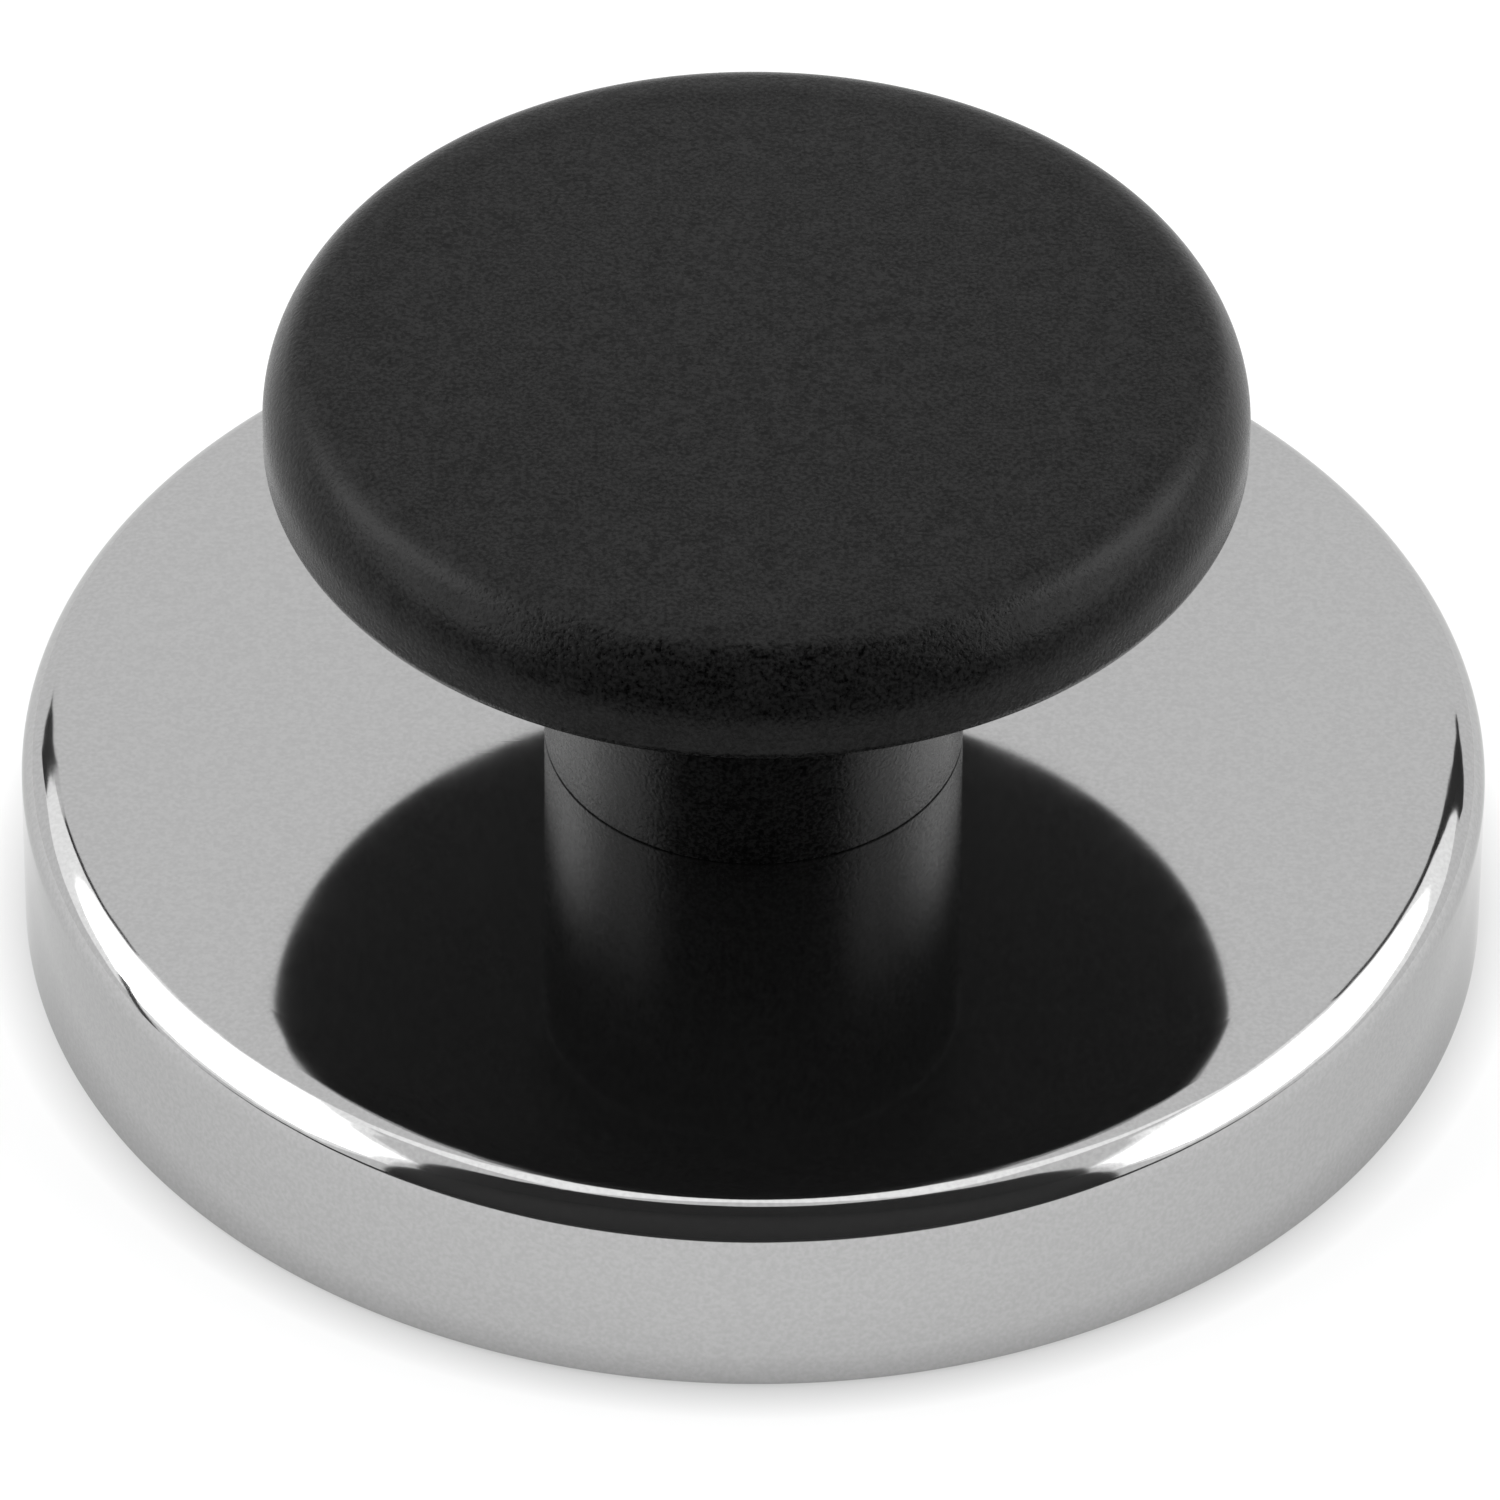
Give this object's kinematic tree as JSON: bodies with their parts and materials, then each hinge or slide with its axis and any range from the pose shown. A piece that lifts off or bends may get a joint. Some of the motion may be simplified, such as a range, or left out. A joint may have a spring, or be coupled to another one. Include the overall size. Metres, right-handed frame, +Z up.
{
  "type": "magnet fishing magnet",
  "caption": "Round hand magnet: a shallow chrome-plated steel cup with a ceramic ring magnet and a black mushroom knob screwed to its top plate.",
  "frame": {"origin": "centre of the magnetic face, which lies on z = 0", "axes": "+Z up through the middle of the cup and the knob"},
  "size_m": [0.0666, 0.0666, 0.0325],
  "materials": {
    "chrome_plate": "polished",
    "black_plastic": "satin",
    "brass": "satin",
    "zinc_steel": "satin",
    "spring_steel": "satin",
    "ferrite": "matte",
    "glue": "matte",
    "potting_resin": "satin"
  },
  "bodies": {
    "base": {"cup": "chrome_plate", "ring_magnet": "ferrite", "adhesive_bed": "glue", "potting_ring": "potting_resin", "clamp_screw": "zinc_steel", "lock_washer": "spring_steel", "flat_washer": "zinc_steel"},
    "insert": {"knob_insert": "brass"},
    "knob": {"knob": "black_plastic"}
  },
  "joints": [
    {"name": "knob_rise", "type": "slide", "parent": "base", "child": "insert", "axis": [0, 0, 1], "range_m": [0, 0.0127]},
    {"name": "knob_turn", "type": "hinge", "parent": "insert", "child": "knob", "pos_m": [0, 0, 0.01], "axis": [0, 0, 1], "range_deg": [0, 3600]}
  ],
  "couplings": [
    {"joint": "knob_rise", "follows": "knob_turn", "m_per_rad": 0.00020213}
  ]
}
